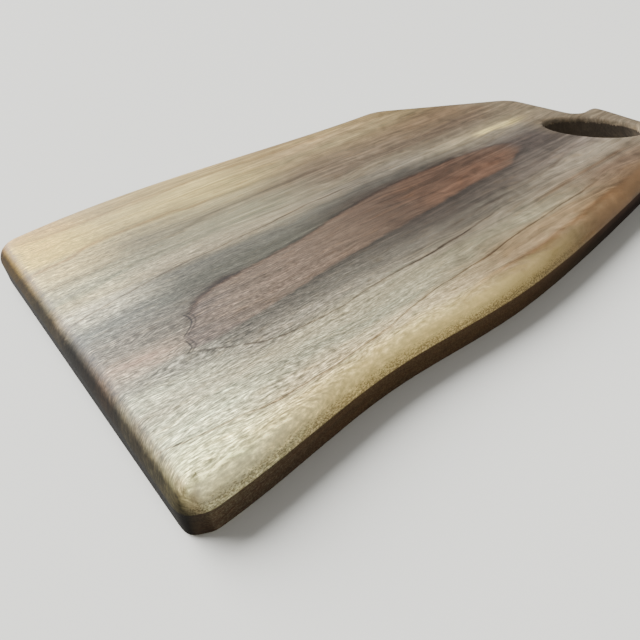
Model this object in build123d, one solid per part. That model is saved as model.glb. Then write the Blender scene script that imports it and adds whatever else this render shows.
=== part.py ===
from build123d import *
import os

# One-piece hardwood board with natural (live) long edges, a squared end, a tapered
# far end and an oval hand hole.  Millimetres.  +X runs along the grain to the hole
# end, +Z is up, and the origin is under the middle of the board, on its resting face.

# ---- overall sizes ----
board_length = 364.0
board_width = 230.0
board_thickness = 20.0

# ---- squared end ----
left_square_radius = 14.0       # plan radii of the squared end's corners
right_square_radius = 10.0

# ---- live edges: places from the squared end, depths in from the full width ----
left_start_depth = 8.0
left_swell_place = 80.0
left_swell_depth = 0.0
left_waist_place = 165.0
left_waist_depth = 5.8
right_start_depth = 0.0
right_heel_place = 22.0
right_heel_depth = 1.0
right_hollow_place = 90.0
right_hollow_depth = 8.3
right_swell_place = 154.0
right_swell_depth = 6.3

right_shoulder_place = 210.0    # from here the right edge runs straight to the far corner
right_shoulder_depth = 10.5

# ---- left shoulder: place from the far end ----
left_shoulder_place = 97.0
left_shoulder_depth = 11.0
left_shoulder_radius = 30.0

# ---- far end ----
far_end_width = 122.0           # between its two corners
far_end_shift = -19.5           # its middle, from the board's middle line
left_far_corner_setback = 18.0  # left corner of the far end, short of the full length
right_far_corner_setback = 3.5
left_far_corner_radius = 22.0
right_far_corner_radius = 18.0

# ---- natural nick and bow of the far edge ----
nick_place = 52.0               # nick's root, from the left corner of the far end
nick_depth = 18.0
nick_lean = 1.5                 # the nick's wall leans back over its root
nick_root_radius = 4.0
nick_crest_margin = 0.5         # plan radius of the crest, over the round of the top edge
crest_fullness = 10.0           # how far past the nick the full length is kept
dip_depth = 3.5                 # shallow dip between the crest and the right corner
dip_place = 31.0                # dip, from the nick's crest

# ---- hand hole ----
hole_length = 57.0              # across the board
hole_width = 31.0               # along the grain
hole_tilt = 22.5                # degrees, right-hand tip turned towards the far end
hole_setback = 36.3             # far end to the hole's middle
hole_shift = -14.0              # hole's middle from the far end's middle

# ---- eased edges ----
top_round = 7.0
bottom_round = 1.5
hole_top_round = 3.5
hole_bottom_round = 2.5

# ---- derived places ----
square_x = -board_length / 2
far_x = board_length / 2
left_y = board_width / 2
right_y = -board_width / 2
left_corner = Vector(far_x - left_far_corner_setback, far_end_shift + far_end_width / 2)
right_corner = Vector(far_x - right_far_corner_setback, far_end_shift - far_end_width / 2)
nick_root = Vector(far_x - nick_depth, left_corner.Y - nick_place)
nick_crest = Vector(far_x, nick_root.Y + nick_lean)


def left_edge():
    """Nearly straight live edge, swelling gently before it reaches the shoulder."""
    return Spline(
        (square_x, left_y - left_start_depth),
        (square_x + left_swell_place, left_y - left_swell_depth),
        (square_x + left_waist_place, left_y - left_waist_depth),
        (far_x - left_shoulder_place, left_y - left_shoulder_depth),
    )


def right_edge():
    """Wavy live edge: a heel, a hollow and a swell, then the taper to the far corner."""
    return Spline(
        right_corner,
        (square_x + right_shoulder_place, right_y + right_shoulder_depth),
        (square_x + right_swell_place, right_y + right_swell_depth),
        (square_x + right_hollow_place, right_y + right_hollow_depth),
        (square_x + right_heel_place, right_y + right_heel_depth),
        (square_x, right_y + right_start_depth),
    )


def bowed_end():
    """Far edge from the nick's crest to the right corner, full, then dipping."""
    return Spline(
        nick_crest,
        (far_x, nick_crest.Y - crest_fullness),
        (far_x - dip_depth, nick_crest.Y - dip_place),
        right_corner,
    )


def outline():
    """Plan of the board, with every corner rounded in plan."""
    left = left_edge()
    right = right_edge()
    plan = make_face(
        [
            left,
            Line(left @ 1, left_corner),
            Line(left_corner, nick_root),
            Line(nick_root, nick_crest),
            bowed_end(),
            right,
            Line(right @ 1, left @ 0),
        ]
    )
    corner_radii = [
        (left @ 0, left_square_radius),
        (right @ 1, right_square_radius),
        (left @ 1, left_shoulder_radius),
        (left_corner, left_far_corner_radius),
        (right_corner, right_far_corner_radius),
        (nick_root, nick_root_radius),
        (nick_crest, top_round + nick_crest_margin),
    ]
    for place, radius in corner_radii:
        plan = fillet(plan.vertices().sort_by_distance(place)[0], radius)
    return plan


def hand_hole():
    """Oval cutter, standing through the whole thickness."""
    middle = Pos(far_x - hole_setback, far_end_shift + hole_shift)
    oval = middle * Rot(0, 0, hole_tilt) * Ellipse(hole_width / 2, hole_length / 2)
    return extrude(oval, board_thickness)


def make_board():
    """Slab with eased faces, pierced by the hand hole."""
    slab = extrude(outline(), board_thickness)
    slab = fillet(slab.faces().sort_by(Axis.Z)[-1].edges(), top_round)
    slab = fillet(slab.faces().sort_by(Axis.Z)[0].edges(), bottom_round)
    board = slab - hand_hole()
    upper_rim = board.faces().sort_by(Axis.Z)[-1].inner_wires()[0].edges()
    board = fillet(upper_rim, hole_top_round)
    lower_rim = board.faces().sort_by(Axis.Z)[0].inner_wires()[0].edges()
    return fillet(lower_rim, hole_bottom_round)


os.makedirs("parts", exist_ok=True)
export_step(make_board(), "parts/board.step")
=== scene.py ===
import math

import bmesh
import bpy
import numpy as np
from mathutils import Matrix, Vector
from mathutils.geometry import delaunay_2d_cdt


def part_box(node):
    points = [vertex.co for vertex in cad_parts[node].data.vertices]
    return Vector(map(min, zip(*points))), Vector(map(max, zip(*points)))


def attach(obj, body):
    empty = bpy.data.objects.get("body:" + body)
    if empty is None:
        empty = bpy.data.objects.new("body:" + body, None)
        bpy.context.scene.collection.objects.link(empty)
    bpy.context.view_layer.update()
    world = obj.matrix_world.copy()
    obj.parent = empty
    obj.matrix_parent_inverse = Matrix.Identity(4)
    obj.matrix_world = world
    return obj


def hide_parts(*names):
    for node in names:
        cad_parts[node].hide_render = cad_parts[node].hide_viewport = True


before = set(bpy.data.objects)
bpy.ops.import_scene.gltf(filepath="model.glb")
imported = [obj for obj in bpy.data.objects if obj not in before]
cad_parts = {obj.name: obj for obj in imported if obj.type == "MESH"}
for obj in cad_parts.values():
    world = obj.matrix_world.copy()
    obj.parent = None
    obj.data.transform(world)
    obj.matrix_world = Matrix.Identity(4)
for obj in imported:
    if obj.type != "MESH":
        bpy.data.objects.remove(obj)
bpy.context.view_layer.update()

# The board is rebuilt as one dense mesh on the CAD node's own plan, with the worked edge
# that the CAD keeps plain, and carries a wood material written in board coordinates.
# Metres throughout; sizes that read better in millimetres are multiplied by MM.

MM = 0.001
LOW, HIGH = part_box("board")
TOP = HIGH.z
SQUARE_END = LOW.x

# ---- spacing of the mesh's points ----
EDGE_SPACING = 0.9 * MM         # along the board's edge
HOLE_SPACING = 0.7 * MM         # along the hand hole's edge
TOP_SPACING = 2.6 * MM          # over the flat of the top
BASE_SPACING = 9 * MM           # over the flat of the underside
ROW_RATIO = 0.87                # rows of a staggered grid lie closer than its points
EDGE_ROUND_RINGS = 9            # rings of points on the rounded top edge
HOLE_ROUND_RINGS = 6            # rings of points on the rounded mouth of the hole
RING_SLACK = 0.05 * MM          # a point this much nearer the edge than its ring is dropped
WELD = 0.04 * MM                # points closer than this become one
SLIVER = 1e-7                   # metres; a filled sheet's points closer than this are joined
WITHIN_EDGES = 1                # the kind of filling that keeps to its outer edges
SHARP_ANGLE = 50                # degrees; faces that meet at more are shaded apart

# ---- how the CAD's plan is followed ----
PLAN_SMOOTHING = 1.2 * MM       # takes the flats of the CAD's mesh out of its curves
CRISP_BLEND = 5 * MM            # how gently the soft edge turns into the crisp one
CRISP_FACING = (0.35, 0.8)      # the edge is crisp where it faces the near long side


# ---------------------------------------------------------------- plan of the board

def section_loops(node, height):
    """Closed plan loops where a level plane cuts a CAD node, the longest first."""
    mesh = bmesh.new()
    mesh.from_mesh(node.data)
    bmesh.ops.remove_doubles(mesh, verts=mesh.verts, dist=1e-6)
    everything = [*mesh.verts, *mesh.edges, *mesh.faces]
    cut = bmesh.ops.bisect_plane(mesh, geom=everything, plane_co=(0, 0, height), plane_no=(0, 0, 1))
    links = {}
    for edge in cut["geom_cut"]:
        if isinstance(edge, bmesh.types.BMEdge):
            a, b = edge.verts
            links.setdefault(a, []).append(b)
            links.setdefault(b, []).append(a)
    loops = []
    while links:
        start = next(iter(links))
        loop, here = [], start
        while here in links:
            loop.append((here.co.x, here.co.y))
            ahead = [v for v in links.pop(here) if v in links]
            here = ahead[0] if ahead else None
        loops.append(np.array(loop))
    mesh.free()
    return sorted(loops, key=perimeter, reverse=True)


def perimeter(loop):
    return np.linalg.norm(np.roll(loop, -1, 0) - loop, axis=1).sum()


def even_loop(loop, spacing, clockwise):
    """The loop resampled evenly, lightly smoothed, with the wood on its left side."""
    area = (loop[:, 0] * np.roll(loop[:, 1], -1) - np.roll(loop[:, 0], -1) * loop[:, 1]).sum()
    if (area > 0) == clockwise:
        loop = loop[::-1]
    closed = np.vstack([loop, loop[:1]])
    along = np.concatenate([[0], np.cumsum(np.linalg.norm(np.diff(closed, axis=0), axis=1))])
    count = int(round(along[-1] / spacing))
    stations = np.arange(count) * along[-1] / count
    even = np.column_stack([np.interp(stations, along, closed[:, k]) for k in (0, 1)])
    return smooth_round(even, PLAN_SMOOTHING / spacing)


def smooth_round(values, sigma):
    """Gaussian smoothing round a closed loop; sigma is in samples."""
    reach = int(math.ceil(3 * sigma))
    weights = np.exp(-0.5 * (np.arange(-reach, reach + 1) / sigma) ** 2)
    weights /= weights.sum()
    return sum(w * np.roll(values, k, 0) for w, k in zip(weights, range(-reach, reach + 1)))


def inward_normals(loop):
    """Unit normals that point into the wood, which lies to the left of the loop."""
    along = np.roll(loop, -1, 0) - np.roll(loop, 1, 0)
    along /= np.linalg.norm(along, axis=1)[:, None]
    return np.column_stack([-along[:, 1], along[:, 0]])


def distance_to(loop, points, batch=2000):
    """Distance from each point to a closed loop, and the index of the loop's nearest corner.

    The points go through in batches, which keeps the tables small.
    """
    a, b = loop, np.roll(loop, -1, 0)
    span = b - a
    length = (span ** 2).sum(1)
    best = np.empty(len(points))
    where = np.empty(len(points), int)
    for low in range(0, len(points), batch):
        p = points[low:low + batch, None]
        t = np.clip(((p - a) * span).sum(2) / length, 0, 1)
        gap = np.linalg.norm(p - a - t[..., None] * span, axis=2)
        segment = gap.argmin(1)
        past_middle = t[np.arange(len(segment)), segment] > 0.5
        where[low:low + batch] = (segment + past_middle) % len(loop)
        best[low:low + batch] = gap.min(1)
    return best, where


def inside(loop, points):
    """True where a point is within the closed loop, by crossings of a ray along +X."""
    a, b = loop, np.roll(loop, -1, 0)
    x, y = points[:, :1], points[:, 1:]
    crosses = (a[:, 1] > y) != (b[:, 1] > y)
    rise = np.where(b[:, 1] == a[:, 1], 1, b[:, 1] - a[:, 1])
    at = a[:, 0] + (y - a[:, 1]) / rise * (b[:, 0] - a[:, 0])
    return (crosses & (x < at)).sum(1) % 2 == 1


def smoothstep(low, high, value):
    t = np.clip((value - low) / (high - low), 0, 1)
    return t * t * (3 - 2 * t)


# ---------------------------------------------------------------- the worked edge

class Rim:
    """An edge of the board in plan, with the section of its rounded top and its wall.

    A pair gives a size on the soft edge and on the crisp near long edge.
    """

    WALL_SHARES = (0.06, 0.2, 0.4, 0.6, 0.8, 1.0)      # levels of the wall, as shares of its fall
    WALL_BOW = 0.25                                    # extra undercut at half height
    FOOT_STEPS = 4                                     # rings of the round at the wall's foot

    def __init__(self, loop, spacing, round_radius, round_angle, undercut, foot_radius, is_hole):
        self.loop = even_loop(loop, spacing, clockwise=is_hole)
        self.inward = inward_normals(self.loop)
        if is_hole:
            self.crisp = np.zeros(len(self.loop))
        else:
            facing = smooth_round(self.inward[:, 1], CRISP_BLEND / spacing)
            self.crisp = smoothstep(*CRISP_FACING, facing)
        self.radius = self.mixed(round_radius)
        self.angle = np.radians(self.mixed(round_angle))
        self.undercut = self.mixed(undercut)
        self.foot_radius = foot_radius
        self.width = self.radius * np.sin(self.angle)
        self.depth = self.radius * (1 - np.cos(self.angle))

    def mixed(self, pair):
        """The soft edge's value where crisp is 0 and the crisp edge's where it is 1."""
        return pair[0] + (pair[1] - pair[0]) * self.crisp

    def drop(self, distance, index):
        """How far the rounded top has fallen at a distance in from the edge."""
        radius, width = self.radius[index], self.width[index]
        run = np.clip(width - distance, 0, width)
        return radius - np.sqrt(np.maximum(radius ** 2 - run ** 2, 0))

    def top_rings(self, steps):
        """Plan points of the round, ring by ring from just inside the edge to its flat."""
        rings = []
        for step in range(steps - 1, -1, -1):
            turn = self.angle * step / steps
            inset = self.width - self.radius * np.sin(turn)
            ring = self.loop + self.inward * inset[:, None]
            real = distance_to(self.loop, ring)[0]
            rings.append(ring[real > inset - RING_SLACK])
        return np.vstack(rings)

    def wall(self):
        """Rings of the wall from the edge down to the bottom flat, as lists of 3-D points."""
        foot = self.foot_radius
        insets, heights = [np.zeros(len(self.loop))], [TOP - self.depth]
        for share in self.WALL_SHARES:
            bow = math.sin(math.pi * share) * self.WALL_BOW
            insets.append(self.undercut * (share + bow))
            heights.append((TOP - self.depth) * (1 - share) + foot * share)
        for step in range(1, self.FOOT_STEPS + 1):
            turn = math.radians(90 / self.FOOT_STEPS * step)
            insets.append(self.undercut + foot * (1 - math.cos(turn)))
            heights.append(np.full(len(self.loop), foot * (1 - math.sin(turn))))
        plans = [self.loop + self.inward * inset[:, None] for inset in insets]
        return [np.column_stack([plan, height]) for plan, height in zip(plans, heights)]


def board_rims():
    """The board's outer edge and the hand hole's edge, from the CAD at half its thickness."""
    outer, inner = section_loops(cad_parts["board"], TOP / 2)
    edge = Rim(outer, EDGE_SPACING, round_radius=(8.5 * MM, 13.4 * MM), round_angle=(84, 61),
               undercut=(0.3 * MM, 1.7 * MM), foot_radius=1.3 * MM, is_hole=False)
    hole = Rim(inner, HOLE_SPACING, round_radius=(3 * MM, 3 * MM), round_angle=(86, 86),
               undercut=(0.05 * MM, 0.05 * MM), foot_radius=2.2 * MM, is_hole=True)
    return edge, hole


# ---------------------------------------------------------------- the mesh

def filled(loops, extra, height_of, flip):
    """Triangles of a sheet bounded by the loops and passing through the extra points."""
    points = np.vstack([*loops, extra])
    edges, start = [], 0
    for loop in loops:
        count = len(loop)
        edges += [(start + k, start + (k + 1) % count) for k in range(count)]
        start += count
    corners = [Vector(p) for p in points]
    verts, _, faces, *_ = delaunay_2d_cdt(corners, edges, [], WITHIN_EDGES, SLIVER)
    plan = np.array([tuple(v) for v in verts])
    triangles = np.array([f for f in faces if len(f) == 3])
    middle = plan[triangles].mean(1)
    triangles = triangles[inside(loops[0], middle) & ~inside(loops[1], middle)]
    if flip:
        triangles = triangles[:, ::-1]
    return np.column_stack([plan, height_of(plan)]), triangles


def grid_points(spacing, edge, hole, edge_gap, hole_gap):
    """Staggered points of the flat, clear of both rims by the gaps."""
    xs = np.arange(LOW.x, HIGH.x, spacing)
    ys = np.arange(LOW.y, HIGH.y, spacing * ROW_RATIO)
    x, y = np.meshgrid(xs, ys)
    x = x + (np.arange(len(ys)) % 2)[:, None] * spacing / 2
    points = np.column_stack([x.ravel(), y.ravel()])
    points = points[inside(edge.loop, points) & ~inside(hole.loop, points)]
    far, index = distance_to(edge.loop, points)
    near = distance_to(hole.loop, points)[0]
    return points[(far > edge.width[index] + edge_gap) & (near > hole.width[0] + hole_gap)]


class Skin:
    """The mesh as it grows: points, faces, and each point's place on the worked edge.

    A point's inset, in mm, is how far in from the edge it lies on the top, and on the wall how
    far it has fallen below the edge, as a negative.  Crisp is 1 on the crisp long edge.  The
    material reads both.
    """

    def __init__(self):
        self.points, self.faces, self.insets, self.crisps = [], [], [], []
        self.count = 0

    def add(self, points, faces, insets, crisps):
        self.faces += [tuple(int(corner) + self.count for corner in face) for face in faces]
        self.points.append(points)
        self.insets.append(insets)
        self.crisps.append(crisps)
        self.count += len(points)

    def mesh(self, name):
        mesh = bpy.data.meshes.new(name)
        mesh.from_pydata([tuple(p) for p in np.vstack(self.points)], [], self.faces)
        for attribute, values in (("inset", self.insets), ("crisp", self.crisps)):
            layer = mesh.attributes.new(attribute, "FLOAT", "POINT")
            layer.data.foreach_set("value", np.concatenate(values).astype(np.float32))
        return mesh


def add_top(skin, edge, hole):
    """The flat of the top and both rounded edges."""
    def height(plan):
        far, at = distance_to(edge.loop, plan)
        near, by = distance_to(hole.loop, plan)
        return TOP - edge.drop(far, at) - hole.drop(near, by)

    flat = grid_points(TOP_SPACING, edge, hole, edge_gap=1.3 * MM, hole_gap=MM)
    within = np.vstack([edge.top_rings(EDGE_ROUND_RINGS), hole.top_rings(HOLE_ROUND_RINGS), flat])
    points, faces = filled([edge.loop, hole.loop], within, height, flip=False)
    far, at = distance_to(edge.loop, points[:, :2])
    skin.add(points, faces, far / MM, edge.crisp[at])


def add_wall(skin, rim):
    """The wall under a rim, as bands of faces between its rings."""
    rings = rim.wall()
    count = len(rim.loop)
    faces = []
    for level in range(len(rings) - 1):
        high, low = level * count, (level + 1) * count
        for k in range(count):
            after = (k + 1) % count
            faces.append((high + k, low + k, low + after, high + after))
    falls = [(ring[:, 2] - rings[0][:, 2]) / MM for ring in rings]
    skin.add(np.vstack(rings), faces, np.concatenate(falls), np.tile(rim.crisp, len(rings)))


def add_base(skin, edge, hole):
    """The flat underside, between the feet of the two walls."""
    def height(plan):
        return np.zeros(len(plan))

    feet = [rim.wall()[-1][:, :2] for rim in (edge, hole)]
    flat = grid_points(BASE_SPACING, edge, hole, edge_gap=2 * MM, hole_gap=4 * MM)
    points, faces = filled(feet, flat, height, flip=True)
    skin.add(points, faces, np.full(len(points), -TOP / MM), np.zeros(len(points)))


def board_mesh():
    """The whole board as one closed mesh."""
    edge, hole = board_rims()
    skin = Skin()
    add_top(skin, edge, hole)
    add_wall(skin, edge)
    add_wall(skin, hole)
    add_base(skin, edge, hole)
    mesh = skin.mesh("board_wood")
    welded = bmesh.new()
    welded.from_mesh(mesh)
    bmesh.ops.remove_doubles(welded, verts=welded.verts, dist=WELD)
    bmesh.ops.recalc_face_normals(welded, faces=welded.faces)
    welded.to_mesh(mesh)
    welded.free()
    mesh.shade_smooth()
    mesh.set_sharp_from_angle(angle=math.radians(SHARP_ANGLE))
    return mesh


# ---------------------------------------------------------------- camera, floor and light

CAMERA_LENS = 33.75             # mm, on a sensor 36 mm wide
CAMERA_PLACE = (-0.2035, -0.2291, 0.1630)
CAMERA_RIGHT = Vector((0.78697, -0.61019, -0.09132))
CAMERA_DOWN = Vector((-0.42690, -0.43165, -0.79463))
FLOOR_TONE = (212, 212, 210)
FLOOR_REACH = 30                # metres, so that its rim lies at the horizon
FLOOR_GAP = 0.3 * MM            # keeps the floor and the underside from sharing a plane

STUDIO_LIGHT = 2.9              # a dark pigment shows as a tone this many times its own value
HIGHLIGHT_GAIN = 8.4            # extra pigment that the brightest tone needs
HIGHLIGHT_COLOUR = 4            # extra colour that the brightest tone needs
DEEPEST = 0.004                 # no pigment is darker


def add_camera():
    """Looks down the board from above its squared end, rolled as a hand-held camera."""
    camera = bpy.data.objects.new("camera", bpy.data.cameras.new("camera"))
    camera.data.lens = CAMERA_LENS
    camera.data.sensor_width = 36
    camera.data.clip_start = 0.01
    turn = Matrix((CAMERA_RIGHT, -CAMERA_DOWN, CAMERA_RIGHT.cross(-CAMERA_DOWN))).transposed()
    camera.matrix_world = Matrix.Translation(CAMERA_PLACE) @ turn.to_4x4()
    bpy.context.scene.collection.objects.link(camera)
    bpy.context.scene.camera = camera


def pigment(red, green, blue):
    """Surface colour that looks like this 0 to 255 tone in the studio light.

    The view softens its brightest tones and their colour, so a pale tone needs a stronger
    pigment than its plain linear value.
    """
    tone = [level / 255 for level in (red, green, blue)]
    tone = [v / 12.92 if v <= 0.04045 else ((v + 0.055) / 1.055) ** 2.4 for v in tone]
    grey = 0.21 * tone[0] + 0.72 * tone[1] + 0.07 * tone[2]
    gain = (1 + HIGHLIGHT_GAIN * grey ** 4) / STUDIO_LIGHT
    vivid = 1 + HIGHLIGHT_COLOUR * grey ** 2
    return (*(max(DEEPEST, (grey + (v - grey) * vivid) * gain) for v in tone), 1)


def add_floor(tone):
    mesh = bpy.data.meshes.new("floor")
    corners = [(-FLOOR_REACH, -FLOOR_REACH, 0), (FLOOR_REACH, -FLOOR_REACH, 0),
               (FLOOR_REACH, FLOOR_REACH, 0), (-FLOOR_REACH, FLOOR_REACH, 0)]
    mesh.from_pydata(corners, [], [(0, 1, 2, 3)])
    floor = bpy.data.objects.new("floor", mesh)
    floor.location.z = LOW.z - FLOOR_GAP
    bpy.context.scene.collection.objects.link(floor)
    material = bpy.data.materials.new("floor")
    material.use_nodes = True
    shader = material.node_tree.nodes["Principled BSDF"]
    shader.inputs["Base Color"].default_value = pigment(*tone)
    shader.inputs["Roughness"].default_value = 0.9
    shader.inputs["Specular IOR Level"].default_value = 0.2
    mesh.materials.append(material)


def add_sun(name, azimuth, elevation, spread, strength):
    """Even light from a compass direction, with its softness as the width of its source."""
    lamp = bpy.data.lights.new(name, "SUN")
    lamp.energy = strength
    lamp.angle = math.radians(spread)
    sun = bpy.data.objects.new(name, lamp)
    a, e = math.radians(azimuth), math.radians(elevation)
    towards = Vector((math.cos(a) * math.cos(e), math.sin(a) * math.cos(e), math.sin(e)))
    sun.rotation_euler = towards.to_track_quat("Z", "Y").to_euler()
    bpy.context.scene.collection.objects.link(sun)


def add_softbox(name, place, aim, size, power, tone):
    lamp = bpy.data.lights.new(name, "AREA")
    lamp.shape = "DISK"
    lamp.size = size
    lamp.energy = power
    lamp.color = tone
    softbox = bpy.data.objects.new(name, lamp)
    softbox.location = place
    softbox.rotation_euler = (Vector(aim) - Vector(place)).to_track_quat("-Z", "Y").to_euler()
    bpy.context.scene.collection.objects.link(softbox)


def add_daylight(strength, tone):
    world = bpy.data.worlds.new("studio")
    world.use_nodes = True
    background = world.node_tree.nodes["Background"]
    background.inputs["Color"].default_value = (*tone, 1)
    background.inputs["Strength"].default_value = strength
    bpy.context.scene.world = world


# ---------------------------------------------------------------- shader building

BOARD_SPAN = 260        # mm, wider than any line's place across the board


class Paint:
    """Makes shader nodes by call, so that a material reads as arithmetic on sockets."""

    def __init__(self, name):
        self.material = bpy.data.materials.new(name)
        self.material.use_nodes = True
        self.tree = self.material.node_tree
        self.shader = self.tree.nodes["Principled BSDF"]

    def node(self, kind, **settings):
        node = self.tree.nodes.new(kind)
        for key, value in settings.items():
            setattr(node, key, value)
        return node

    def feed(self, socket, value):
        if isinstance(value, bpy.types.NodeSocket):
            self.tree.links.new(value, socket)
        else:
            socket.default_value = value

    def math(self, operation, *values, clamp=False):
        node = self.node("ShaderNodeMath", operation=operation, use_clamp=clamp)
        for socket, value in zip(node.inputs, values):
            self.feed(socket, value)
        return node.outputs[0]

    def linear(self, value, slope, start, clamp=False):
        """The value times the slope, plus the start, kept within 0 and 1 if clamped."""
        return self.math("MULTIPLY_ADD", value, slope, start, clamp=clamp)

    def add(self, *values):
        total = values[0]
        for value in values[1:]:
            total = self.math("ADD", total, value)
        return total

    def minus(self, a, b):
        return self.math("SUBTRACT", a, b)

    def times(self, *values):
        total = values[0]
        for value in values[1:]:
            total = self.math("MULTIPLY", total, value)
        return total

    def larger(self, a, b):
        return self.math("MAXIMUM", a, b)

    def size_of(self, value):
        """The value without its sign."""
        return self.math("ABSOLUTE", value)

    def rise(self, value, low, high):
        """0 below low, 1 above high, smooth between; low may be the larger."""
        node = self.node("ShaderNodeMapRange", interpolation_type="SMOOTHSTEP")
        ends = (0.0, 1.0) if low < high else (1.0, 0.0)
        for socket, given in zip(node.inputs, (value, min(low, high), max(low, high), *ends)):
            self.feed(socket, given)
        return node.outputs[0]

    def near(self, value, width):
        """1 where the value is 0, fading to 0 at the width on either side."""
        return self.rise(self.size_of(value), width, 0.0)

    def between(self, value, low, high, soft):
        return self.times(self.rise(value, low - soft, low + soft),
                          self.rise(value, high + soft, high - soft))

    def split(self, vector):
        node = self.node("ShaderNodeSeparateXYZ")
        self.feed(node.inputs[0], vector)
        return node.outputs[0], node.outputs[1], node.outputs[2]

    def vector(self, x, y, z):
        node = self.node("ShaderNodeCombineXYZ")
        for socket, value in zip(node.inputs, (x, y, z)):
            self.feed(socket, value)
        return node.outputs[0]

    def attribute(self, name):
        return self.node("ShaderNodeAttribute", attribute_name=name).outputs["Fac"]

    def noise(self, place, sizes, shift=0.0, detail=3.0, rough=0.5, distort=0.0):
        """Noise of about -1 to 1 at a place in mm, with features of these sizes in mm.

        The shift keeps one pattern from repeating another.
        """
        scaled = [self.linear(part, 1 / size, shift) for part, size in zip(place, sizes)]
        node = self.node("ShaderNodeTexNoise")
        self.feed(node.inputs["Vector"], self.vector(*scaled))
        node.inputs["Scale"].default_value = 1.0
        node.inputs["Detail"].default_value = detail
        node.inputs["Roughness"].default_value = rough
        node.inputs["Distortion"].default_value = distort
        return self.linear(node.outputs[0], 3.4, -1.7)

    def ramp(self, value, stops):
        """Colours by value, from (value, (red, green, blue)) stops."""
        low, high = stops[0][0], stops[-1][0]
        node = self.node("ShaderNodeValToRGB")
        node.color_ramp.interpolation = "EASE"
        self.feed(node.inputs[0], self.linear(value, 1 / (high - low), -low / (high - low)))
        elements = node.color_ramp.elements
        while len(elements) < len(stops):
            elements.new(0.5)
        for element, (at, tone) in zip(elements, stops):
            element.position = (at - low) / (high - low)
        for element, (at, tone) in zip(elements, stops):
            element.color = pigment(*tone)
        return node.outputs[0]

    def path(self, along, points):
        """Place across the board, in mm, of a line drawn through (along, across) points."""
        node = self.node("ShaderNodeFloatCurve")
        low, high = points[0][0], points[-1][0]
        curve = node.mapping.curves[0]
        while len(curve.points) < len(points):
            curve.points.new(0.5, 0.5)
        for point, (at, across) in zip(curve.points, points):
            point.location = ((at - low) / (high - low), across / BOARD_SPAN + 0.5)
            point.handle_type = "AUTO_CLAMPED"
        node.mapping.update()
        self.feed(node.inputs["Value"], self.linear(along, 1 / (high - low), -low / (high - low)))
        return self.linear(node.outputs[0], BOARD_SPAN, -BOARD_SPAN / 2)

    def mix(self, factor, a, b, blend="MIX"):
        node = self.node("ShaderNodeMix", data_type="RGBA", blend_type=blend)
        self.feed(node.inputs[0], factor)
        self.feed(node.inputs[6], a)
        self.feed(node.inputs[7], b)
        return node.outputs[2]

    def shade(self, colour, factor):
        """The colour multiplied by a grey factor."""
        return self.mix(1.0, colour, self.vector(factor, factor, factor), "MULTIPLY")

    def darken(self, colour, mask, tint):
        """The colour multiplied by a tint where the mask is 1."""
        return self.mix(mask, colour, (*tint, 1), "MULTIPLY")


# ---------------------------------------------------------------- the wood

# Tones seen across the board, as (place in mm from its middle line, tone), on four stretches
# of its length.  Part of their change along the board is painted light: a painted sheen pales
# the near end and painted shade darkens the far end.
NEAR_BANDS = [
    (-115, (218, 212, 190)), (-100, (213, 212, 194)), (-88, (207, 207, 192)),
    (-74, (193, 190, 175)), (-64, (200, 199, 185)), (-55, (175, 172, 159)),
    (-45, (184, 171, 156)), (-30, (160, 153, 140)), (-10, (154, 154, 144)),
    (4, (203, 199, 186)), (16, (196, 189, 168)), (24, (193, 190, 172)),
    (35, (194, 187, 164)), (45, (210, 200, 176)), (56, (201, 189, 162)),
    (66, (216, 202, 170)), (85, (216, 200, 167)), (98, (212, 190, 158)),
    (110, (194, 168, 140)),
]
MIDDLE_BANDS = [
    (-112, (218, 208, 182)), (-101, (209, 199, 176)), (-94, (198, 189, 170)),
    (-84, (180, 177, 160)), (-74, (181, 175, 157)), (-63, (160, 153, 139)),
    (-56, (128, 122, 110)), (-47, (116, 110, 99)), (-30, (114, 107, 96)),
    (-6, (111, 109, 96)), (4, (121, 118, 106)), (14, (180, 171, 153)),
    (26, (173, 167, 148)), (36, (172, 167, 147)), (47, (156, 147, 124)),
    (57, (183, 174, 149)), (66, (190, 178, 148)), (76, (199, 187, 158)),
    (86, (204, 193, 166)), (96, (189, 174, 144)), (108, (200, 186, 160)),
]
FAR_BANDS = [
    (-108, (186, 160, 134)), (-98, (172, 154, 131)), (-87, (168, 149, 124)),
    (-77, (170, 163, 144)), (-66, (156, 146, 130)), (-56, (126, 118, 106)),
    (-47, (93, 84, 75)), (-36, (92, 82, 73)), (-12, (90, 74, 62)),
    (-3, (90, 76, 65)), (6, (104, 98, 88)), (16, (156, 147, 133)),
    (25, (152, 140, 121)), (34, (128, 112, 94)), (46, (144, 127, 107)),
    (54, (148, 130, 107)), (64, (161, 143, 116)), (74, (174, 160, 133)),
    (85, (189, 172, 147)), (95, (181, 163, 133)), (105, (178, 157, 129)),
]
TIP_BANDS = [
    (-106, (196, 168, 140)), (-92, (172, 144, 116)), (-85, (146, 122, 98)),
    (-76, (134, 113, 94)), (-66, (150, 136, 119)), (-54, (163, 153, 138)),
    (-44, (151, 139, 128)), (-35, (112, 102, 93)), (-24, (94, 84, 77)),
    (-14, (102, 91, 84)), (-4, (122, 113, 103)), (5, (156, 146, 130)),
    (14, (176, 165, 144)), (24, (139, 125, 107)), (36, (128, 109, 90)),
    (46, (136, 116, 93)), (56, (148, 125, 100)), (66, (142, 120, 93)),
    (78, (161, 144, 115)), (90, (156, 136, 104)), (100, (150, 130, 105)),
]
# Where one stretch turns into the next, in mm from the squared end.
BAND_CHANGES = [((12, 62), MIDDLE_BANDS), ((105, 182), FAR_BANDS), ((205, 280), TIP_BANDS)]

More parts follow.
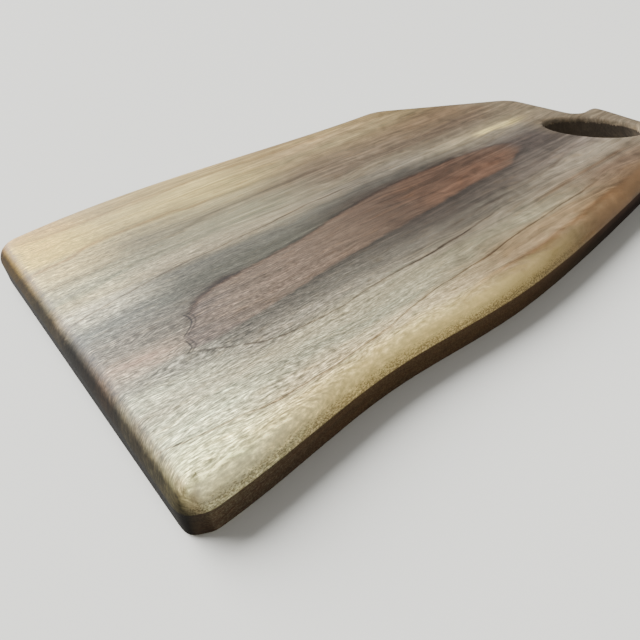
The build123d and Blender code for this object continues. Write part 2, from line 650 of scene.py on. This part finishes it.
# The dark heart streak: its tone along the board, its two sides as (along, across), and the
# wavy line of its end near the squared end as (across, along).
HEART_TONES = [
    (35, (132, 119, 109)), (75, (143, 126, 111)), (105, (144, 125, 110)),
    (135, (136, 116, 100)), (165, (118, 97, 82)), (200, (126, 98, 80)),
    (240, (120, 92, 75)), (262, (122, 97, 81)), (285, (100, 86, 78)),
]
HEART_TOP = [
    (34, -47), (40, -40), (48, -29), (62, -19), (87, -15), (125, -11),
    (143, -7), (179, -2), (222, -1), (248, -3), (268, -7), (284, -18),
]
HEART_LOW = [
    (34, -50), (45, -52), (69, -50), (95, -45.5), (143, -40), (180, -37),
    (211, -34), (248, -33), (262, -27), (274, -22), (284, -18),
]
HEART_END = [
    (-53.5, 33), (-52, 35), (-50.5, 37), (-49, 38.5), (-46.5, 38.6), (-44.3, 38.2), (-41, 39.5),
    (-39.4, 41.5), (-37.4, 43.8), (-34.4, 46.2), (-31.2, 46.7), (-28, 45.9), (-26, 44.5),
]
HEART_GLOW = [(165, -31), (200, -27), (235, -24), (270, -18)]     # the reddest line within it
HEART_CORE = [(130, -18), (175, -14), (220, -11), (260, -10)]     # the darkest line within it

# Growth-ring lines: points (along, across), half-width, strength, where it starts and ends
# along the board, and the tint of its middle.
RING_LINES = [
    ([(34, -51), (47, -58), (59, -65), (78, -69), (96, -70), (113, -68), (167, -65.5), (213, -61)],
     0.55, 1.0, (34, 205), (0.22, 0.17, 0.15)),
    ([(0, -85), (9, -90), (25, -93), (52, -96), (99, -94), (118, -90), (173, -85), (241, -80),
      (300, -76)],
     0.55, 1.0, (2, 262), (0.24, 0.18, 0.15)),
    ([(0, -3), (11, 0.5), (33, 5), (53, 8.8), (80, 11.2), (110, 12), (137, 15), (190, 15.5)],
     0.6, 1.0, (0, 172), (0.28, 0.22, 0.19)),
    ([(150, -58.5), (173, -57), (197, -55), (219, -53.8), (252, -52), (300, -42)],
     1.2, 0.8, (165, 285), (0.60, 0.55, 0.52)),
    ([(0, 20), (20, 21), (36, 24.8), (53, 28), (84, 27), (115, 28.6), (150, 29)],
     1.9, 0.8, (5, 140), (0.55, 0.60, 0.57)),
    ([(0, 30), (14, 36), (31, 37), (53, 40), (71, 40), (99, 46), (135, 48), (200, 47)],
     2.0, 0.8, (0, 185), (0.55, 0.50, 0.46)),
    ([(0, 53), (11, 55.6), (27, 58), (38, 63), (62, 64.5), (86, 65.5), (96, 62), (130, 63)],
     1.8, 0.8, (4, 112), (0.60, 0.46, 0.34)),
    ([(0, 69), (22, 76.5), (44, 78.7), (130, 78.7), (200, 76)],
     1.4, 0.7, (5, 170), (0.74, 0.72, 0.62)),
    ([(0, 88), (40, 92), (90, 94), (150, 93), (230, 86)],
     1.4, 0.6, (10, 220), (0.78, 0.66, 0.55)),
    ([(210, -72), (240, -69), (270, -67), (310, -66)],
     1.6, 0.9, (225, 310), (0.70, 0.54, 0.42)),
    ([(150, -98), (200, -96), (250, -90), (300, -84)],
     1.3, 0.8, (150, 300), (0.72, 0.54, 0.40)),
]


class Grain:
    """Where a point of the board lies, in mm, and the patterns that several layers share."""

    def __init__(self, P):
        self.locate(P)
        self.bend(P)
        self.comb(P)

    def locate(self, P):
        """Place from the squared end, from the middle line and down from the top."""
        coords = P.node("ShaderNodeTexCoord")
        x, y, z = P.split(coords.outputs["Object"])
        self.along = P.linear(x, 1 / MM, -SQUARE_END / MM)
        self.across = P.times(y, 1 / MM)
        self.depth = P.linear(z, -1 / MM, TOP / MM)
        self.place = (self.along, self.across, self.depth)
        self.facing_x, _, facing_z = P.split(coords.outputs["Normal"])
        self.upper = P.rise(facing_z, -0.97, -0.6)      # 0 on the flat underside
        self.inset = P.attribute("inset")
        self.crisp = P.times(P.attribute("crisp"), self.upper)

    def bend(self, P):
        """Growth layers are curved, so lines spread outwards and slip along with depth."""
        spread = P.linear(self.depth, -0.012, 1.0)
        self.grain_y = P.add(P.times(self.across, spread), P.times(self.depth, 0.15))
        layer = (self.along, self.grain_y, self.depth)
        self.slow = P.noise(layer, (75, 16, 16), detail=2)
        self.quick = P.noise(layer, (20, 5, 8), 7.0, detail=3, rough=0.6)
        drift = P.times(self.slow, 3.2)
        self.band_y = P.add(self.grain_y, P.add(drift, P.times(self.quick, 1.3)))
        self.line_y = P.add(self.grain_y, P.times(self.slow, 0.9), P.times(self.quick, 0.9))
        self.flow = (self.along, P.add(self.grain_y, drift, P.times(self.quick, 0.5)), self.depth)

    def comb(self, P):
        """Streaks, strands, fibres, nap and pores, from the longest to the finest."""
        self.streak = P.noise(self.flow, (110, 3.6, 5.0), 17.0, detail=3, rough=0.6)
        self.strand = P.noise(self.flow, (48, 1.15, 2.0), 1.0, detail=4, rough=0.65)
        self.fibre = P.noise(self.flow, (10, 0.55, 0.9), 2.0, detail=3, rough=0.7)
        self.nap = P.noise(self.flow, (3.4, 0.62, 1.0), 5.0, detail=3, rough=0.65)
        pores = P.noise(self.flow, (1.7, 0.22, 0.4), 13.0, detail=1, rough=0.4)
        self.pores = P.rise(pores, 0.42, 0.72)
        # 1 at the near corner of the squared end, where the wood is roughest.
        self.coarse = P.rise(P.add(P.times(self.along, 0.9), P.times(self.across, 0.5)), 150, -20)
        # How far the surface has turned towards an end of the board.
        self.turned = P.add(P.size_of(self.facing_x), P.times(self.strand, 0.03))


class Heart:
    """The dark streak: how far a point is inside each of its sides, in mm, and its mask."""

    def __init__(self, P, grain):
        ragged = P.noise(grain.place, (5, 4, 6), 3.0, detail=4, rough=0.65)
        side_y = P.add(grain.line_y, P.times(ragged, 0.9))
        jitter = P.times(ragged, 0.25)
        self.end_y = P.add(grain.grain_y, jitter)
        self.below_top = P.minus(P.path(grain.along, HEART_TOP), side_y)
        self.above_low = P.minus(side_y, P.path(grain.along, HEART_LOW))
        self.past_end = P.minus(P.add(grain.along, jitter), P.path(self.end_y, HEART_END))
        self.mask = P.times(P.rise(self.below_top, -0.6, 1.4), P.rise(self.above_low, -1.0, 1.8),
                            P.rise(self.past_end, -0.6, 1.4), P.rise(grain.along, 284, 262))


# The layers of the wood, from the broadest to the finest.  Numbers beside along are mm from
# the squared end, and those beside across, band_y and line_y are mm from the middle line.

def colour_bands(P, grain):
    """Broad bands along the grain, which change along the board, partly as painted light: a
    painted sheen at the near end and painted shade towards the far end.
    """
    base = P.ramp(grain.band_y, NEAR_BANDS)
    for (start, end), bands in BAND_CHANGES:
        base = P.mix(P.rise(grain.along, start, end), base, P.ramp(grain.band_y, bands))
    return base


def paint_heart(P, grain, heart, base):
    """The reddish streak, glowing towards the hole and darkest near its far side."""
    along = grain.along
    tone = P.ramp(P.add(along, P.times(grain.slow, 14.0), P.times(grain.streak, 22.0)), HEART_TONES)
    glow = P.times(P.near(P.minus(grain.band_y, P.path(along, HEART_GLOW)), 10),
                   P.between(along, 196, 262, 22), P.rise(grain.quick, -1.1, 0.4))
    tone = P.mix(P.times(glow, 0.6), tone, pigment(138, 102, 81))
    core = P.times(P.near(P.minus(grain.band_y, P.path(along, HEART_CORE)), 11),
                   P.between(along, 168, 248, 20))
    tone = P.darken(tone, P.times(core, 0.9), (0.62, 0.62, 0.61))
    return P.mix(P.times(heart.mask, 0.95), base, tone)


def paint_heart_rims(P, grain, heart, base):
    """Dark rims along both sides of the streak, and the brow where its far side curls in."""
    along = grain.along
    top = P.times(P.near(P.minus(heart.below_top, 0.2), 2.2),
                  P.rise(along, 50, 75), P.rise(along, 285, 255))
    base = P.darken(base, P.times(top, 0.85), (0.52, 0.47, 0.45))
    low = P.times(P.near(P.add(heart.above_low, 1.2), 3.4),
                  P.rise(along, 70, 110), P.rise(along, 275, 245))
    base = P.darken(base, P.times(low, 0.8), (0.62, 0.60, 0.60))
    base = paint_hooks(P, heart, base)
    brow = P.times(P.near(P.add(heart.below_top, 0.3), 4.4), P.between(along, 46, 80, 8))
    return P.darken(base, brow, (0.44, 0.35, 0.33))


def paint_hooks(P, heart, base):
    """Two thin lines side by side along the streak's end, broken where its two lobes meet."""
    outer = P.near(heart.past_end, 0.9)
    inner = P.near(P.minus(heart.past_end, 1.9), 0.9)
    broken = P.rise(P.size_of(P.add(heart.end_y, 42.8)), 0.6, 1.8)
    hooks = P.times(P.larger(outer, P.times(inner, 0.7)),
                    P.between(heart.end_y, -52, -27.5, 0.6), broken)
    return P.darken(base, hooks, (0.20, 0.19, 0.21))


def paint_ring_lines(P, grain, base):
    """Growth-ring lines, fainter here and there."""
    patchy = P.linear(grain.quick, 0.35, 0.8, clamp=True)
    for points, half_width, strength, (start, end), tint in RING_LINES:
        gap = P.minus(grain.line_y, P.path(grain.along, points))
        mask = P.times(P.near(gap, half_width * 1.6), P.between(grain.along, start, end, 12), strength)
        base = P.darken(base, P.times(mask, patchy), tint)
    return base


def paint_hole_surround(P, grain, base):
    """A pale streak before the hole, partly pale wood and partly a painted highlight, grey wood
    around it, a reddish spot behind it.
    """
    along, y = grain.along, grain.band_y
    # The pale streak before the hole is partly a painted highlight.
    flare = P.add(P.times(P.near(P.minus(along, 283), 16), P.near(P.minus(y, 11.5), 5)),
                  P.times(P.near(P.minus(along, 306), 22), P.near(P.minus(y, 10), 7)))
    streaky = P.linear(grain.streak, 0.5, 0.75, clamp=True)
    base = P.mix(P.times(flare, streaky), base, pigment(208, 198, 172))
    around = P.larger(P.times(P.rise(along, 296, 322), P.rise(y, -42, -14)),
                      P.rise(along, 333, 346))
    base = P.mix(P.times(around, 0.8), base, pigment(152, 138, 118))
    spot = P.times(P.near(P.minus(along, 313), 14), P.near(P.minus(y, 44), 12))
    return P.darken(base, P.times(spot, 0.6), (0.62, 0.50, 0.46))


def paint_figure(P, grain, base):
    """Wavy figure: blotches that the light catches, stronger towards the hole end."""
    figure = P.noise(grain.place, (13, 7, 8), 11.0, detail=1.5, rough=0.55, distort=0.9)
    amount = P.linear(P.rise(grain.along, 100, 220), 0.20, 0.12)
    return P.shade(base, P.add(1.0, P.times(figure, amount)))


def paint_fibres(P, grain, base):
    """Streaks and strands all over, and rough fibres and nap near the squared end."""
    on_round = P.times(P.rise(grain.inset, 12, 3), grain.crisp)
    calm = P.times(P.linear(P.rise(grain.turned, 0.15, 0.6), -0.55, 1.0),
                   P.linear(on_round, -0.45, 1.0))
    rough = P.add(P.times(grain.fibre, P.linear(grain.coarse, 1.0, 0.3)),
                  P.times(grain.nap, P.linear(grain.coarse, 2.6, 0.1)))
    fine = P.add(P.times(grain.streak, 0.62), P.times(grain.strand, 0.72), P.times(rough, calm))
    return P.shade(base, P.math("POWER", 2.0, fine))


def paint_warmth(P, grain, base):
    """Warm and cool streaks, and the pink blush in the squared end's near half."""
    warmth = P.noise(grain.flow, (14, 2.6, 4.0), 21.0, detail=3, rough=0.65)
    base = P.darken(base, P.rise(warmth, 0.0, 0.9), (1.0, 0.94, 0.83))
    base = P.darken(base, P.rise(warmth, 0.0, -0.9), (0.86, 0.93, 0.92))
    blush = P.times(P.near(P.minus(grain.along, 20), 22), P.near(P.add(grain.band_y, 43), 9))
    uneven = P.rise(P.add(grain.nap, grain.quick), -0.5, 0.8)
    return P.mix(P.times(blush, uneven, 0.6), base, pigment(200, 174, 160))


def paint_pores(P, grain, base):
    """Short dark dashes along the grain."""
    return P.darken(base, P.times(grain.pores, 0.2), (0.55, 0.47, 0.40))


def edge_specks(P, grain):
    """Mask of the dark specks where the crisp edge rolls over."""
    grit = P.noise(grain.place, (0.8, 0.4, 0.6), 9.0, detail=2, rough=0.7)
    rolled = P.times(P.rise(grain.inset, 3.6, 0.2), grain.crisp)
    return P.times(P.rise(P.add(grit, P.times(rolled, 0.6)), 0.1, 0.9),
                   P.rise(grain.inset, 5.0, 0.6), grain.crisp, P.rise(grain.along, 250, 170))


def paint_crisp_edge(P, grain, specks, base):
    """Pale outer wood on the crisp edge's round, its pale tone partly a painted highlight, tan
    beyond the shoulder, and its specks.
    """
    along, inset = grain.along, grain.inset
    # The round's pale tone is partly the edge's pale outer wood and partly a painted highlight.
    round_mask = P.times(P.rise(P.add(inset, P.times(grain.strand, 2.5)), 10.0, 4.0),
                         grain.crisp, P.rise(along, 240, 150))
    sapwood_and_highlight = P.mix(P.rise(along, 25, 80), pigment(213, 209, 196), pigment(221, 211, 188))
    base = P.mix(P.times(round_mask, 0.85), base, P.mix(0.55, base, sapwood_and_highlight))
    tan_mask = P.times(P.between(along, 225, 330, 22), P.rise(inset, 10, 3),
                       P.rise(inset, -0.3, 1.2), grain.crisp)
    base = P.mix(P.times(tan_mask, 0.65), base, pigment(192, 166, 142))
    return P.darken(base, P.times(specks, 0.85), (0.28, 0.25, 0.21))


def paint_wall(P, grain, wall, base):
    """Bark-like wood on the outer walls, its dark tone partly painted shade, with a painted
    contact shadow on the lower half towards the far end.  Sawn wood in the hand hole, darkened
    by painted shade, most towards the near long side.
    """
    along, across = grain.along, grain.across
    layers = P.noise(grain.place, (26, 26, 2.4), 4.0, detail=4, rough=0.6)
    rays = P.noise(grain.place, (3.0, 0.6, 3.0), 6.0, detail=3, rough=0.6)
    # The outer walls' dark brown is partly the live edge's own colour and partly painted shade.
    bark_and_shade = P.mix(P.linear(layers, 0.5, 0.5, clamp=True), pigment(58, 33, 23), pigment(96, 60, 41))
    bark_and_shade = P.shade(bark_and_shade, P.add(1.0, P.times(rays, 0.25)))
    # Painted contact shadow: the lower half of the wall darkens towards the far end.
    painted_contact_shadow = P.times(P.rise(grain.depth, 8, 15), P.rise(along, 150, 240))
    bark_and_shade = P.darken(bark_and_shade, painted_contact_shadow, (0.30, 0.28, 0.27))
    # Painted shade in the hand hole: its wall darkens, most towards the near long side.
    sawn_and_shade = P.mix(P.rise(across, -12, -45), pigment(104, 92, 80), pigment(46, 39, 34))
    sawn_and_shade = P.shade(P.mix(0.8, base, sawn_and_shade), P.add(1.0, P.times(rays, 0.2)))
    in_hole = P.times(P.near(P.minus(along, 326), 34), P.near(P.add(across, 33), 42))
    face = P.mix(P.rise(in_hole, 0.02, 0.12), P.mix(0.9, base, bark_and_shade), sawn_and_shade)
    return P.mix(wall, base, face)


def paint_end_grain_and_shade(P, grain, base):
    """Both ends fade to dark as they turn down: mostly painted shade, with a little of end
    grain's own darker tone.
    """
    # Painted shade on both ends, deepest where the surface faces furthest towards an end.
    at_ends = P.add(P.rise(grain.along, 60, 30), P.rise(grain.along, 345, 356))
    base = P.darken(base, P.times(P.rise(grain.turned, 0.08, 0.42), at_ends), (0.42, 0.37, 0.34))
    return P.darken(base, P.times(P.rise(grain.turned, 0.42, 0.80), at_ends), (0.12, 0.115, 0.11))


def finish_roughness(P, grain, heart, wall):
    """A dull finish, a little glossier on the dense heart, and matt on walls and ends."""
    return P.add(0.56, P.times(grain.strand, 0.06), P.times(grain.pores, 0.18),
                 P.times(heart.mask, -0.05),
                 P.times(P.larger(wall, P.rise(grain.turned, 0.3, 0.8)), 0.44))


def grain_relief(P, grain, specks):
    """Fibres stand up and pores sink in, by hundredths of a millimetre."""
    height = P.add(P.times(grain.fibre, 0.35), P.times(grain.nap, P.linear(grain.coarse, 0.6, 0.2)),
                   P.times(grain.pores, -0.9), P.times(grain.strand, 0.25),
                   P.times(specks, grain.crisp, -0.8))
    bump = P.node("ShaderNodeBump")
    bump.inputs["Strength"].default_value = 0.35
    bump.inputs["Distance"].default_value = 0.08 * MM
    P.feed(bump.inputs["Height"], height)
    return bump.outputs[0]


def wood_material():
    """Streaked hardwood: bands, a dark heart, ring lines, fibres, pores and worked edges."""
    P = Paint("hardwood")
    grain = Grain(P)
    heart = Heart(P, grain)
    specks = edge_specks(P, grain)
    wall = P.times(P.rise(grain.inset, 0.25, -0.6), grain.upper)

    base = colour_bands(P, grain)
    base = paint_heart(P, grain, heart, base)
    base = paint_heart_rims(P, grain, heart, base)
    base = paint_ring_lines(P, grain, base)
    base = paint_hole_surround(P, grain, base)
    base = paint_figure(P, grain, base)
    base = paint_fibres(P, grain, base)
    base = paint_warmth(P, grain, base)
    base = paint_pores(P, grain, base)
    base = paint_crisp_edge(P, grain, specks, base)
    base = paint_wall(P, grain, wall, base)
    base = paint_end_grain_and_shade(P, grain, base)

    P.feed(P.shader.inputs["Base Color"], base)
    P.feed(P.shader.inputs["Roughness"], finish_roughness(P, grain, heart, wall))
    P.feed(P.shader.inputs["Normal"], grain_relief(P, grain, specks))
    P.shader.inputs["IOR"].default_value = 1.45
    P.shader.inputs["Specular IOR Level"].default_value = 0.2
    return P.material


# ---------------------------------------------------------------- the scene

board = bpy.data.objects.new("board_wood", board_mesh())
bpy.context.scene.collection.objects.link(board)
board.data.materials.append(wood_material())
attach(board, "root")
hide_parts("board")

add_camera()
add_floor(FLOOR_TONE)
add_daylight(0.27, tone=(1, 0.99, 0.98))
add_sun("key", azimuth=112, elevation=36, spread=54, strength=13.2)
add_softbox("fill", place=(-0.1, -1.5, 0.75), aim=(0, -0.1, 0), size=0.9, power=8,
            tone=(1, 0.97, 0.92))
